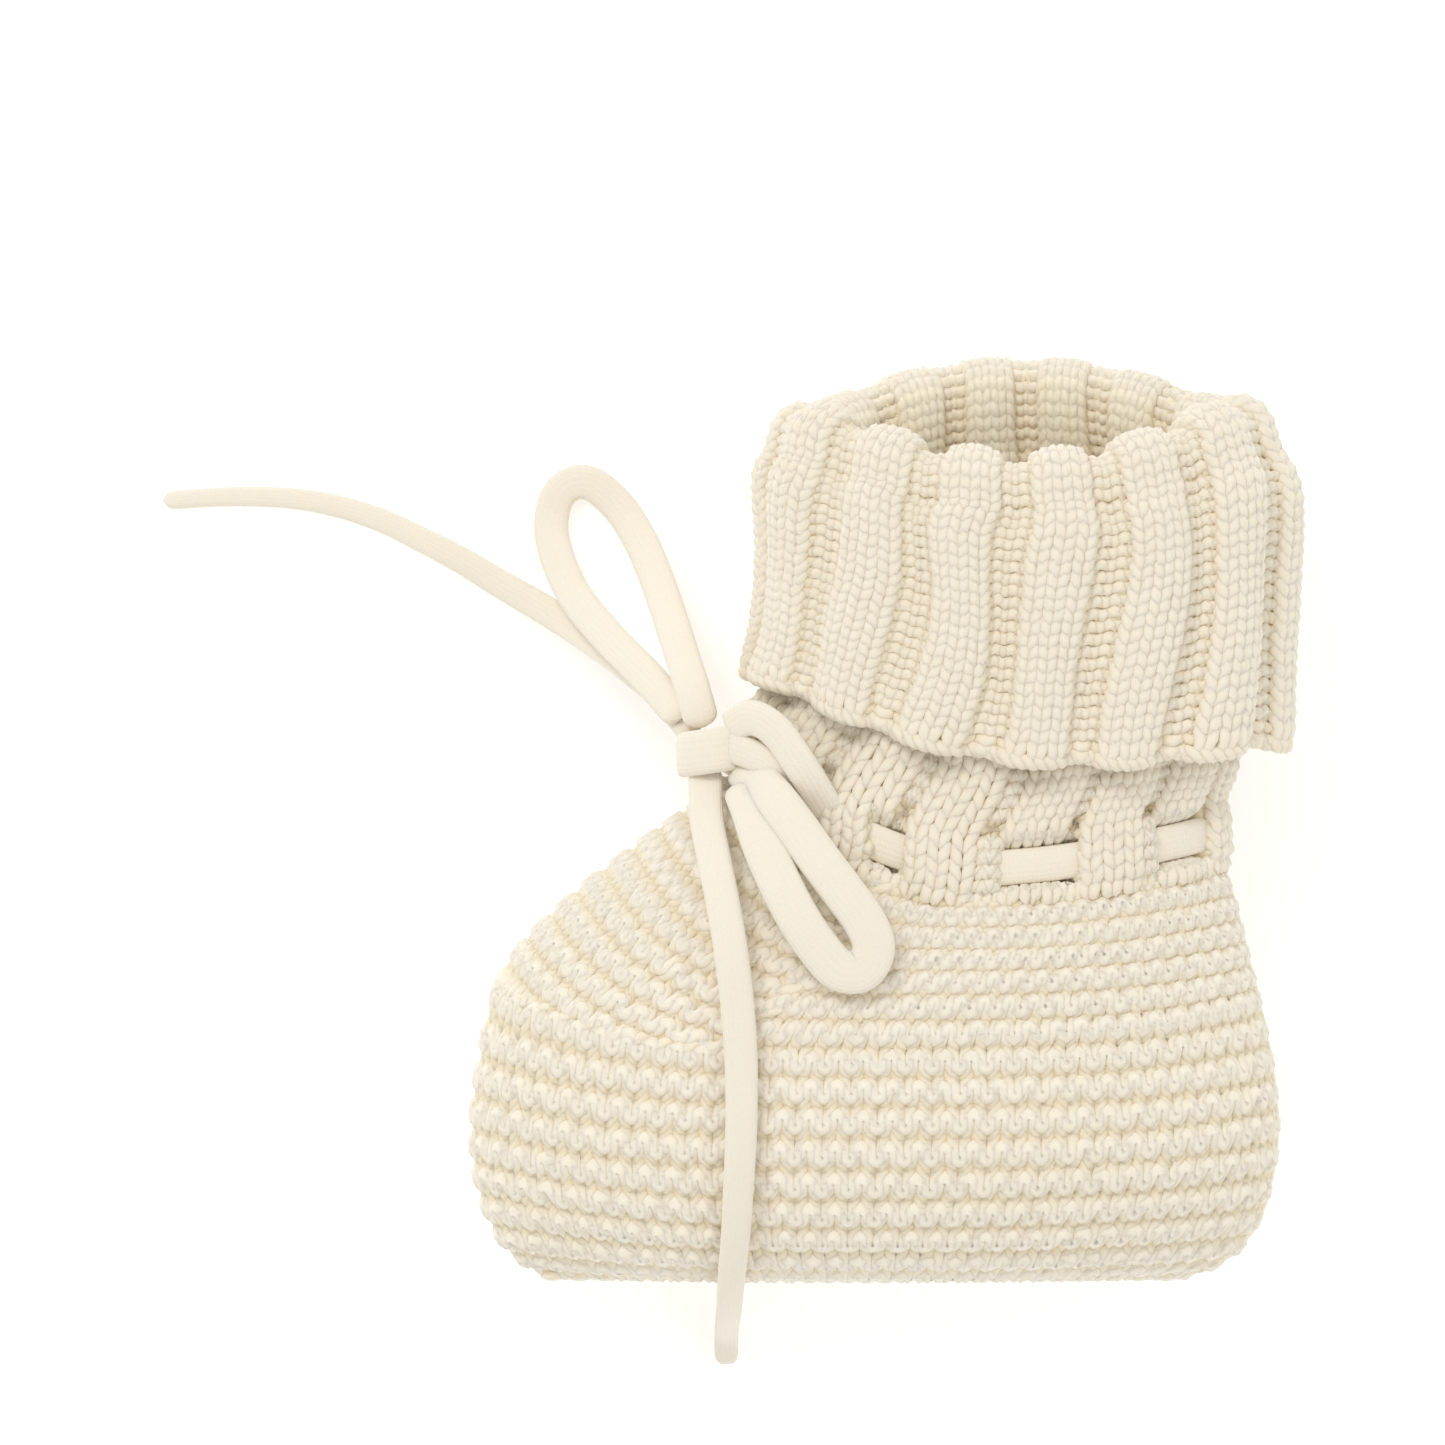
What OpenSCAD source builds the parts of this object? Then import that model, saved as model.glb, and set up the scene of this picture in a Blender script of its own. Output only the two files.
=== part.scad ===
// Hand-knitted baby bootie, lying on its side: toe towards -X, heel towards +X,
// sole towards -Y, cuff towards +Y, resting on z = 0.

/* [Foot] */
// Length of the foot from toe to heel
foot_length = 101; // [84:1:122]
// Thickness of the stuffed foot as it lies on its side
foot_thick = 37; // [31:0.5:45]
// Thickness of the garter-stitch fabric
foot_ply = 3; // [2.4:0.1:3.6]
// Width of the backstitched seam at the heel
heel_seam_w = 3; // [2:0.5:5]

/* [Leg and cuff] */
// Height from the sole to the rolled rim
boot_height = 114.4; // [96:1:138]
// Thickness of the ribbed leg
leg_ply = 2.4; // [2:0.1:2.9]
// Thickness of the turned-down cuff
cuff_ply = 2.6; // [2.1:0.1:3.1]
// Free space between the leg and the turned-down cuff
cuff_gap = 0.7; // [0.4:0.1:1]
// Depth of the cuff from its rim to its hem
cuff_turn = 38; // [30:1:40]
// Height of the rolled rim above the end of the leg
roll_height = 5; // [4:0.5:6]
// Depth of the cast-off edge along the hem
hem_depth = 2.4; // [1.6:0.2:3.2]

/* [Drawcord] */
// Width of the flat knitted cord
cord_w = 4.2; // [3.4:0.1:5]
// Thickness of the flat knitted cord
cord_t = 1.8; // [1.4:0.1:2.2]
// Thickness of a rib bridge that the cord is laced through
bridge_t = 1.2; // [0.9:0.1:1.5]
// Free space between the cord and each bridge
cord_gap = 0.2; // [0.1:0.05:0.3]

/* [Hidden] */

cream = [0.94, 0.91, 0.82];
cream_deep = [0.9, 0.86, 0.75];
cord_cream = [0.96, 0.93, 0.85];

// The outlines below are drawn for a bootie of this size and grow with the sizes above
drawn_length = 101;
drawn_height = 114.4;
drawn_thick = 37;
grow_x = foot_length / drawn_length;
grow_y = boot_height / drawn_height;
grow_z = foot_thick / drawn_thick;
mid_z = 18 * grow_z;

// A station is a closed loop round the bootie:
// [front x, front y, back x, back y, side y, half thickness, end lift, rim lean, floor]
// side y is the height halfway between front and back; end lift is the power that
// shapes the rise towards the ends; rim lean lowers the near side and lifts the far side;
// floor is the lowest height that the loop may reach.
foot_stations = [
    [-43.0, -56.0, 39.0, -56.0, -56.4, 2.5, 2.0, 0, 0],
    [-47.4, -52.6, 44.4, -53.4, -54.6, 9.5, 2.0, 0, 0],
    [-50.4, -46.4, 47.8, -48.0, -49.8, 14.5, 2.2, 0, 0],
    [-51.4, -38.5, 49.4, -40.0, -42.6, 18.0, 2.4, 0, 0],
    [-50.4, -29.6, 49.0, -32.0, -34.8, 19.0, 2.6, 0, 0],
    [-47.4, -18.6, 47.4, -23.5, -27.0, 19.0, 2.8, 0, 0],
    [-39.0, -9.6, 45.8, -17.0, -20.0, 18.4, 2.4, 0, 0],
    [-28.6, -1.6, 44.2, -10.5, -14.0, 17.2, 1.9, 0, 0],
    [-20.6, 4.4, 42.6, -4.8, -9.0, 15.4, 1.4, 0, 0.6]];
leg_stations = [
    [-18.6, 11.4, 42.2, 2.6, -1.8, 15.0, 1.4, 0, 1.6],
    [-12.8, 19.0, 44.4, 10.0, 7.0, 14.8, 1.0, 0, 0]];
// Outer face of the turned-down cuff, from its hem to just below its rim
hem_shift = 38 - cuff_turn;
cuff_stations = [
    [-17.6, 17.4 + hem_shift, 50.6, 8.6 + hem_shift, 11.4 + hem_shift, 19.0, 1.0, 5.0, 0],
    [-15.6, 25.0, 50.8, 19.0, 20.5, 19.0, 1.0, 5.4, 0],
    [-14.8, 34.0, 51.4, 31.0, 31.5, 19.0, 1.0, 5.8, 0],
    [-15.2, 43.0, 51.4, 41.5, 41.5, 19.0, 1.0, 6.2, 0],
    [-13.6, 51.0, 48.4, 51.6, 50.9, 17.4, 1.0, 6.4, 0]];

squareness = 0.86;   // 1 is an ellipse, smaller is squarer
rib_turns = 48;      // columns round the bootie
foot_rows = 20;      // rows from the sole seam to the eyelets
cuff_rows = 8;

function grown(s) = [s[0] * grow_x, s[1] * grow_y, s[2] * grow_x, s[3] * grow_y, s[4] * grow_y,
                     s[5] * grow_z, s[6], s[7], s[8]];

// Smooth blend of the stations at a fractional index
function blend4(a, b, c, d, f) =
    b + f * ((c - a) / 2 + f * ((a - 2.5 * b + 2 * c - d / 2) + f * ((d - a) / 2 + 1.5 * (b - c))));
function at(list, k) =
    let (n = len(list) - 1, i = min(floor(k), n - 1), f = k - i)
    blend4(list[max(i - 1, 0)], list[i], list[i + 1], list[min(i + 2, n)], f);

// Angle for an even share of the way round, so that ribs keep one width
function even_angle(u) = u + 8 * sin(2 * u);
function signed_pow(v, p) = sign(v) * pow(abs(v), p);

// Point on a loop at u degrees round from the front, set off outwards by d and up by dy
function on_loop(s, u, d, dy = 0) =
    let (t = even_angle(u), c = signed_pow(cos(t), squareness), w = signed_pow(sin(t), squareness),
         half = (s[2] - s[0]) / 2 + d, mid = (s[0] + s[2]) / 2,
         lift = pow(abs(cos(t)), s[6]) * ((cos(t) > 0 ? s[1] : s[3]) - s[4]),
         lean = s[7] * pow(sin(t), 3))
    [mid - half * c, s[4] + lift - lean + dy, max(s[8] - min(d, 0), mid_z + (s[5] + d) * w)];

boot = [for (s = concat(foot_stations, leg_stations)) grown(s)];
cuff_outer = [for (s = cuff_stations) grown(s)];
leg_inset = cuff_ply + cuff_gap;
foot_top = len(foot_stations) - 1;   // the last loop of the foot

// Loop of the leg beside the cuff's loop i, clear of every loop of the cuff that slides past it
function in_cuff(i) = let (s = cuff_outer[i], past = [for (k = [0:i]) cuff_outer[k]])
    [max([for (p = past) p[0]]) + leg_inset, s[1], min([for (p = past) p[2]]) - leg_inset, s[3],
     s[4], min([for (p = past) p[5]]) - leg_inset, s[6], s[7], s[8] + leg_inset];
function floored(s, z) = [for (i = [0:8]) i == 8 ? z : s[i]];
leg = concat([boot[foot_top], boot[foot_top + 1], floored(boot[foot_top + 2], leg_inset)],
             [for (i = [2:4]) in_cuff(i)]);

// Closed solid between an outer and an inner grid of points; keep says which cells exist
module slab(outer, inner, keep) {
    rows = len(outer);
    cols = len(outer[0]);
    total = rows * cols;
    function o(i, j) = i * cols + j;
    function n(i, j) = total + i * cols + j;
    function has(i, j) = i >= 0 && j >= 0 && i < rows - 1 && j < cols - 1 && keep[i][j];
    faces = [for (i = [0:rows - 2]) for (j = [0:cols - 2]) if (has(i, j)) each concat(
        [[o(i, j), o(i + 1, j), o(i + 1, j + 1)], [o(i, j), o(i + 1, j + 1), o(i, j + 1)],
         [n(i, j), n(i + 1, j + 1), n(i + 1, j)], [n(i, j), n(i, j + 1), n(i + 1, j + 1)]],
        has(i - 1, j) ? [] : [[o(i, j), o(i, j + 1), n(i, j)], [o(i, j + 1), n(i, j + 1), n(i, j)]],
        has(i + 1, j) ? [] : [[o(i + 1, j), n(i + 1, j), o(i + 1, j + 1)],
                              [o(i + 1, j + 1), n(i + 1, j), n(i + 1, j + 1)]],
        has(i, j - 1) ? [] : [[o(i, j), n(i, j), o(i + 1, j)], [o(i + 1, j), n(i, j), n(i + 1, j)]],
        has(i, j + 1) ? [] : [[o(i, j + 1), o(i + 1, j + 1), n(i, j + 1)],
                              [o(i + 1, j + 1), n(i + 1, j + 1), n(i, j + 1)]])];
    polyhedron(concat([for (r = outer) each r], [for (r = inner) each r]), faces);
}

// The same, closed all the way round
module ring_slab(outer, inner) {
    rows = len(outer);
    cols = len(outer[0]);
    total = rows * cols;
    function o(i, j) = i * cols + j % cols;
    function n(i, j) = total + i * cols + j % cols;
    faces = concat(
        [for (i = [0:rows - 2]) for (j = [0:cols - 1]) each
            [[o(i, j), o(i + 1, j), o(i + 1, j + 1)], [o(i, j), o(i + 1, j + 1), o(i, j + 1)],
             [n(i, j), n(i + 1, j + 1), n(i + 1, j)], [n(i, j), n(i, j + 1), n(i + 1, j + 1)]]],
        [for (j = [0:cols - 1]) each
            [[o(0, j), o(0, j + 1), n(0, j)], [o(0, j + 1), n(0, j + 1), n(0, j)],
             [o(rows - 1, j), n(rows - 1, j), o(rows - 1, j + 1)],
             [o(rows - 1, j + 1), n(rows - 1, j), n(rows - 1, j + 1)]]]);
    polyhedron(concat([for (r = outer) each r], [for (r = inner) each r]), faces);
}

join_gap = 0.15;                     // clearance where one piece is knitted on to the next

// Foot: columns run from the front, over the near side, to the back and home on the far side
seam_row = 12;                       // row where the instep panel begins
panel_cols = 9;                      // columns from the front to the panel's edge
half_cols = rib_turns / 2;
seam_share = heel_seam_w / 2 / (foot_length + foot_thick) * 180;
function foot_u(j) = j == half_cols - 1 ? 180 - seam_share
    : j == half_cols + 1 ? 180 + seam_share : j * 360 / rib_turns;
foot_k = [for (i = [0:foot_rows]) foot_top * i / foot_rows];
foot_outer = [for (k = foot_k) [for (j = [0:rib_turns]) on_loop(at(boot, k), foot_u(j), 0)]];
foot_inner = [for (k = foot_k) [for (j = [0:rib_turns])
    on_loop(at(boot, k), foot_u(j), -min(foot_ply, 0.8 * at(boot, k)[5]), k == 0 ? 0.6 : 0)]];
function in_panel(i, j) = i >= seam_row && (j < panel_cols || j >= rib_turns - panel_cols);
function in_seam(j) = j == half_cols - 1 || j == half_cols;

module foot_part(first, last) {
    keep = [for (i = [0:foot_rows - 1]) [for (j = [0:rib_turns - 1])
        j >= first && j < last && !in_panel(i, j) && !in_seam(j)]];
    slab(foot_outer, foot_inner, keep);
}

module foot_near_side() {
    color(cream)
        foot_part(0, half_cols);
}

module foot_far_side() {
    color(cream_deep)
        foot_part(half_cols, rib_turns);
}

module heel_seam() {
    color(cream_deep)
        slab(foot_outer, foot_inner,
             [for (i = [0:foot_rows - 1]) [for (j = [0:rib_turns - 1]) in_seam(j)]]);
}

// Instep panel: its columns are shifted half a turn so that it is one strip over the front
module instep_panel() {
    cols = [for (j = [-panel_cols:panel_cols]) (j + rib_turns) % rib_turns];
    rows = [for (i = [seam_row:foot_rows]) i];
    color(cream)
        slab([for (i = rows) [for (j = cols) foot_outer[i][j]]],
             [for (i = rows) [for (j = cols) foot_inner[i][j]]],
             [for (i = [1:len(rows) - 1]) [for (j = [1:len(cols) - 1]) true]]);
}

// Sole seam: a narrow bar that closes the first loop of the foot
module sole_seam() {
    n = rib_turns;
    loop = [for (j = [0:n - 1]) on_loop(boot[0], foot_u(j), 0, -join_gap)];
    below = [for (p = loop) [p[0], -boot_height / 2, mid_z + (p[2] - mid_z) * 0.8]];
    above = [for (j = [0:n - 1]) foot_inner[0][j] - [0, join_gap, 0]];
    middle_x = (boot[0][0] + boot[0][2]) / 2;
    centres = [[middle_x, below[0][1], mid_z], [middle_x, above[n / 4][1], mid_z]];
    lids = [for (j = [0:n - 1]) each
        [[3 * n, j, (j + 1) % n], [3 * n + 1, 2 * n + (j + 1) % n, 2 * n + j]]];
    walls = [for (r = [0:1]) for (j = [0:n - 1]) each
        [[r * n + j, r * n + n + j, r * n + n + (j + 1) % n],
         [r * n + j, r * n + n + (j + 1) % n, r * n + (j + 1) % n]]];
    color(cream_deep)
        polyhedron(concat(below, loop, above, centres), concat(lids, walls));
}

// Lacing band between the foot and the leg: bridges over the cord, backs behind it
band_half = 3.6;                                  // half height of the band
cord_mid = -leg_ply / 2;                          // the cord's middle, from the outer face
bridge_out = cord_mid + cord_t / 2 + cord_gap;    // inner face of a bridge over the cord
back_in = cord_mid - cord_t / 2 - cord_gap;       // outer face of a back behind the cord
cord_room = cord_w / 2 + cord_gap;
lace_step = 23.4;                                 // one bridge or one back, in degrees round
lace_from = 71.6;                                 // where the first full bridge starts
first_bridge = [48.6, 60.7];                      // narrow bridge beside the bow's near lead
bridges = concat([first_bridge],
                 [for (k = [0:4]) [lace_from + 2 * k * lace_step, lace_from + (2 * k + 1) * lace_step]]);
front_split = 345;                                // where the plain front is parted
backs = concat([[first_bridge[1], lace_from]],
               [for (k = [0:3]) [bridges[k + 1][1], bridges[k + 2][0]]],
               [[bridges[5][1], front_split], [front_split, 360 + first_bridge[0]]]);

// Point of the band at a distance above its middle line, set off outwards by d
function band_pt(y, u, d) = let (f = 0.5 + y / (2 * band_half))
    on_loop(leg[0] * (1 - f) + leg[1] * f, u, d);

module band_strip(from, to, face_end, face_mid, thick, gap = 0.15) {
    cells = ceil((to - from) / 8);
    us = [for (c = [0:cells]) from + gap + (to - from - 2 * gap) * c / cells];
    ys = [join_gap - band_half, -cord_room, 0, cord_room, band_half - join_gap];
    faces = [face_end, face_mid, face_mid, face_mid, face_end];
    slab([for (i = [0:4]) [for (u = us) band_pt(ys[i], u, faces[i])]],
         [for (i = [0:4]) [for (u = us) band_pt(ys[i], u, faces[i] - thick)]],
         [for (i = [0:3]) [for (c = [1:cells]) true]]);
}

module rib_bridges() {
    color(cream)
        for (b = bridges) band_strip(b[0], b[1], 0, bridge_out + bridge_t, bridge_t);
}

module eyelet_backs() {
    color(cream_deep)
        for (b = backs) band_strip(b[0], b[1], bridge_t - leg_ply, back_in, bridge_t);
}

// Leg: from the lacing band to just under the rolled rim
leg_rows = 9;
leg_end = 5;
leg_k = [for (i = [0:leg_rows]) 1 + (leg_end - 1) * i / leg_rows];
leg_drop = roll_height + cuff_gap;     // how far the leg's end stays below the rim
function leg_dy(k) = -leg_drop * max(0, k - 3) / (leg_end - 3);

module leg_rib() {
    us = [for (j = [0:rib_turns - 1]) j * 360 / rib_turns];
    color(cream)
        ring_slab([for (k = leg_k) [for (u = us) on_loop(at(leg, k), u, 0, leg_dy(k))]],
                  [for (k = leg_k) [for (u = us) on_loop(at(leg, k), u, -leg_ply, leg_dy(k))]]);
}

// Cuff: a doubled-over tube with a rolled rim that reaches in over the end of the leg
rim = 4;                               // station of the rim
roll_in = leg_inset + leg_ply;         // how far in the roll reaches
module cuff() {
    us = [for (j = [0:rib_turns - 1]) j * 360 / rib_turns];
    edge = hem_depth;
    wall = [for (i = [0:cuff_rows]) rim * i / cuff_rows];
    up = [for (k = wall) edge * max(0, 1 - k) - roll_height * max(0, k - 3)];
    outer = concat([for (i = [0:cuff_rows]) [wall[i], 0, up[i]]],
                   [[rim, 0, 1 - roll_height], [rim, -0.7, -1.6], [rim, -2.0, -0.4], [rim, -3.2, 0]]);
    inner = concat([for (i = [0:cuff_rows]) [wall[i], -cuff_ply, up[i]]],
                   [[rim, -roll_in, -roll_height], [rim, -roll_in, -1.8],
                    [rim, 0.9 - roll_in, -0.6], [rim, -3.8, -0.1]]);
    color(cream)
        ring_slab([for (r = outer) [for (u = us) on_loop(at(cuff_outer, r[0]), u, r[1], r[2])]],
                  [for (r = inner) [for (u = us) on_loop(at(cuff_outer, r[0]), u, r[1], r[2])]]);
}

// Cast-off edge: the last row of the cuff
module cuff_edge() {
    us = [for (j = [0:rib_turns - 1]) j * 360 / rib_turns];
    hem = cuff_outer[0];
    color(cream_deep)
        ring_slab([for (y = [0, hem_depth]) [for (u = us) on_loop(hem, u, 0, y)]],
                  [for (y = [0, hem_depth]) [for (u = us) on_loop(hem, u, -cuff_ply, y)]]);
}

// Laced stretch of the cord, from the near lead round the back to the far lead
lace_start = first_bridge[0] + 1;
lace_end = 336;
module ankle_cord() {
    cells = 40;
    us = [for (c = [0:cells]) lace_start + (lace_end - lace_start) * c / cells];
    face = cord_mid + cord_t / 2;
    color(cord_cream)
        slab([for (y = [-cord_w / 2, cord_w / 2]) [for (u = us) band_pt(y, u, face)]],
             [for (y = [-cord_w / 2, cord_w / 2]) [for (u = us) band_pt(y, u, face - cord_t)]],
             [[for (c = [1:cells]) true]]);
}

// Free cord: a flat tube swept along its route, its wide side level
function unit(v) = v / norm(v);
function along(path, i) = unit(path[min(i + 1, len(path) - 1)] - path[max(i - 1, 0)]);
module flat_tube(path, width = cord_w, thick = cord_t) {
    sides = 8;
    n = len(path);
    function side_of(i) = let (t = along(path, i), s = cross([0, 0, 1], t))
        norm(s) < 0.05 ? [0, 1, 0] : unit(s);
    rings = [for (i = [0:n - 1]) let (t = along(path, i), a = side_of(i), b = cross(t, a))
        for (j = [0:sides - 1])
            path[i] + a * cos(j * 360 / sides + 22.5) * width / 2 / cos(22.5)
                    + b * sin(j * 360 / sides + 22.5) * thick / 2 / cos(22.5)];
    faces = concat([[for (j = [0:sides - 1]) j]],
                   [[for (j = [0:sides - 1]) n * sides - 1 - j]],
                   [for (i = [0:n - 2]) for (j = [0:sides - 1]) let (k = (j + 1) % sides)
                       each [[i * sides + j, i * sides + sides + k, i * sides + k],
                             [i * sides + j, i * sides + sides + j, i * sides + sides + k]]]);
    polyhedron(rings, faces);
}

// Routes of the bow: the loops and tails come down from the knot and lie on the foot and the floor.
// They are drawn for the knot below; the bow hangs from the front of the ankle and grows with it.
drawn_knot = [-21, 9.4, 25.6];
knot = band_pt(0, 0, 0) + [-1.4, 1.5, 7.6 * grow_z];
function bow_pt(p) = [knot[0] + (p[0] - drawn_knot[0]) * grow_x,
                      knot[1] + (p[1] - drawn_knot[1]) * grow_y,
                      max(knot[2] + (p[2] - drawn_knot[2]) * grow_z, cord_t / 2 + 0.3)];
function bow_route(points) = [for (p = points) bow_pt(p)];
upper_loop_route = [
    [-22.3, 11.8, 25.5], [-23.6, 16.5, 24], [-25.2, 21.5, 19.5], [-26.8, 26.5, 13.5],
    [-28.6, 31.5, 8], [-30.6, 36, 4], [-33.4, 40.2, 1.8], [-37, 42.9, 1.5], [-40.2, 42, 1.5],
    [-41.6, 38.6, 1.7], [-41.2, 34.4, 3.4], [-38.8, 28.8, 7.2], [-34.5, 23.4, 12.7],
    [-29.6, 18.4, 18.5], [-24.8, 13, 24]];
lower_loop_route = [
    [-18, 7.4, 27.2], [-14.4, 4, 32], [-11.2, 0, 35.2], [-7.9, -4.6, 37.2],
    [-4.9, -8.6, 38.2], [-2.5, -12, 38.5], [-1.4, -15.2, 38.6], [-2.8, -17.9, 38.6],
    [-5.7, -17.8, 38.6], [-8.3, -15, 38.6], [-10.7, -11.4, 38.3], [-12.9, -7.2, 37.2],
    [-14.9, -2.6, 35], [-16.2, 1.5, 32.4], [-17.6, 5, 29.4]];
upper_tail_route = [
    [-23.2, 11, 23.6], [-27.4, 15.8, 19.2], [-31.4, 19.2, 14.4], [-35, 21.9, 9.6],
    [-39, 24.6, 5.2], [-43.6, 27.4, 2.2], [-48.4, 30.2, 1.2], [-53, 33, 1.2],
    [-58, 35.6, 1.2], [-63, 38, 1.2], [-68.5, 39.8, 1.2], [-74, 40.8, 1.2],
    [-79.5, 41.1, 1.2], [-85, 41, 1.2], [-91, 40.6, 1.2]];
lower_tail_route = [
    [-22, 7, 26.2], [-21.9, 1, 30.4], [-20.9, -4.5, 34], [-19.8, -10, 36.6],
    [-18.8, -16, 38.1], [-18, -23, 38.6], [-17.6, -30, 38.6], [-17.6, -37, 38.3],
    [-17.9, -44, 37.2], [-18.3, -50.6, 34.2], [-18.8, -56.4, 28.6], [-19.1, -60.8, 20.6],
    [-19.3, -63.4, 12.4], [-19.4, -65.4, 5], [-19.4, -69, 1.3]];
near_lead_route = [[-9.7, 6.2, 33.1], [-13.2, 11.2, 32.4], [-16.4, 13, 30.6], [-18.8, 11.6, 28.2]];
far_lead_route = [[-20, 8.6, 13], [-21.6, 9.4, 17.5], [-21.2, 9.4, 22]];

module bow_knot() {
    color(cord_cream)
        hull() {
            translate(knot + [-2.4, 0.4, 0])
                sphere(r = 2.9, $fn = 20);
            translate(knot + [2.4, -0.4, 1])
                sphere(r = 2.9, $fn = 20);
            translate(knot + [0, 0.6, -1.6])
                sphere(r = 2.4, $fn = 20);
        }
}

module upper_loop() {
    color(cord_cream)
        flat_tube(bow_route(upper_loop_route));
}

module lower_loop() {
    color(cord_cream)
        flat_tube(bow_route(lower_loop_route));
}

module upper_tail() {
    color(cord_cream)
        flat_tube(bow_route(upper_tail_route));
}

module lower_tail() {
    color(cord_cream)
        flat_tube(bow_route(lower_tail_route));
}

module near_lead() {
    color(cord_cream)
        flat_tube(concat([band_pt(0, lace_start, cord_mid)], bow_route(near_lead_route)));
}

module far_lead() {
    color(cord_cream)
        flat_tube(concat([band_pt(0, lace_end, cord_mid)], bow_route(far_lead_route)));
}

foot_near_side();
foot_far_side();
instep_panel();
sole_seam();
heel_seam();
rib_bridges();
eyelet_backs();
leg_rib();
cuff();
cuff_edge();
ankle_cord();
near_lead();
far_lead();
bow_knot();
upper_loop();
lower_loop();
upper_tail();
lower_tail();
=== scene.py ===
"""A hand-knitted baby bootie: its yarn, its laced cord and its bow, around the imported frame."""
import math

import bmesh
import bpy
import numpy as np
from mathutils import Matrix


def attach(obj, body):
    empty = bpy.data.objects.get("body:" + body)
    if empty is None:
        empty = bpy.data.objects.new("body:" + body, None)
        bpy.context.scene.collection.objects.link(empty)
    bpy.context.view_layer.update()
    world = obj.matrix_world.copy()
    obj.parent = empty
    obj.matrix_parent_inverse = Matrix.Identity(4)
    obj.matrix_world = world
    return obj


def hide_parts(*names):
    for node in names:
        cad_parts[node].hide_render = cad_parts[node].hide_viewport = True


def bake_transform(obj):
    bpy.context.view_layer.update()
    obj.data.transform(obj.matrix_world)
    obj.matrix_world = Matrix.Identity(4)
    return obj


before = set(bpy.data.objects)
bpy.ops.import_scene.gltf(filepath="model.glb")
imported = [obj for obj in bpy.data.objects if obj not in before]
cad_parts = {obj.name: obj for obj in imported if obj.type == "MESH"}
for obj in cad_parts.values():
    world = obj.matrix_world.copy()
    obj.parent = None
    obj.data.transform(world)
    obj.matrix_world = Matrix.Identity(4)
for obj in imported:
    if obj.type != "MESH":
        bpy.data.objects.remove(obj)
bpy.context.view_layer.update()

MM = 0.001
rng = np.random.default_rng(7)

# ---------------------------------------------------------------- sizes, in millimetres

GARTER_YARN = 2.05     # diameter of the yarn in the garter foot
RIB_YARN = 1.68          # and in the stretched rib of the leg and cuff
CORD_WIDTH = 4.4
CORD_THICK = 1.8
VIEW_WIDTH = 180.6      # what the camera sees across, at the height of the bootie's middle
VIEW_CENTRE = (-19.9, 12.4)
MID_Z = 18.0
LEG_PLY = 2.4
GARTER_COURSE = 2.0     # height of one course of loops in the foot
LEG_COURSE = 1.8
CUFF_COURSE = 1.5

# Loops round the bootie, as in the design:
# front x, front y, back x, back y, side y, half thickness, end lift, rim lean, floor
FOOT = np.array([
    [-43.0, -56.0, 39.0, -56.0, -56.4, 2.5, 2.0, 0, 0],
    [-47.4, -52.6, 44.4, -53.4, -54.6, 9.5, 2.0, 0, 0],
    [-50.4, -46.4, 47.8, -48.0, -49.8, 14.5, 2.2, 0, 0],
    [-51.4, -38.5, 49.4, -40.0, -42.6, 18.0, 2.4, 0, 0],
    [-50.4, -29.6, 49.0, -32.0, -34.8, 19.0, 2.6, 0, 0],
    [-47.4, -18.6, 47.4, -23.5, -27.0, 19.0, 2.8, 0, 0],
    [-39.0, -9.6, 45.8, -17.0, -20.0, 18.4, 2.4, 0, 0],
    [-28.6, -1.6, 44.2, -10.5, -14.0, 17.2, 1.9, 0, 0],
    [-20.6, 4.4, 42.6, -4.8, -9.0, 15.4, 1.4, 0, 0.6]])
LEG = np.array([
    [-18.6, 11.4, 42.2, 2.6, -1.8, 15.0, 1.4, 0, 1.6],
    [-12.8, 19.0, 44.4, 10.0, 7.0, 14.8, 1.0, 0, 3.3],
    [-11.5, 34.0, 47.3, 31.0, 31.5, 15.7, 1.0, 5.8, 3.3],
    [-11.5, 40.2, 47.3, 38.7, 38.7, 15.7, 1.0, 6.2, 3.3],
    [-10.3, 45.3, 45.1, 45.9, 45.2, 14.1, 1.0, 6.4, 3.3]])
CUFF = np.array([
    [-17.6, 17.4, 50.6, 8.6, 11.4, 19.0, 1.0, 5.0, 0],
    [-15.6, 25.0, 50.8, 19.0, 20.5, 19.0, 1.0, 5.4, 0],
    [-14.8, 34.0, 51.4, 31.0, 31.5, 19.0, 1.0, 5.8, 0],
    [-15.2, 43.0, 51.4, 41.5, 41.5, 19.0, 1.0, 6.2, 0],
    [-13.6, 51.0, 48.4, 51.6, 50.9, 17.4, 1.0, 6.4, 0]])
BOOT = np.vstack([FOOT, LEG])
FOOT_TOP = 8.0          # the loop where garter stitch gives way to rib
SQUARENESS = 0.86


def smooth_step(x):
    x = np.clip(x, 0, 1)
    return x * x * (3 - 2 * x)


# ---------------------------------------------------------------- the bootie's surface

def at_loop(stations, k):
    """Smooth blend of the loops at fractional places k."""
    last = len(stations) - 1
    i = np.clip(np.floor(k).astype(int), 0, last - 1)
    f = (k - i)[..., None]
    a, b, c, d = (stations[np.clip(i + n, 0, last)] for n in (-1, 0, 1, 2))
    cubic = (d - a) / 2 + 1.5 * (b - c)
    return b + f * ((c - a) / 2 + f * ((a - 2.5 * b + 2 * c - d / 2) + f * cubic))


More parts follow.
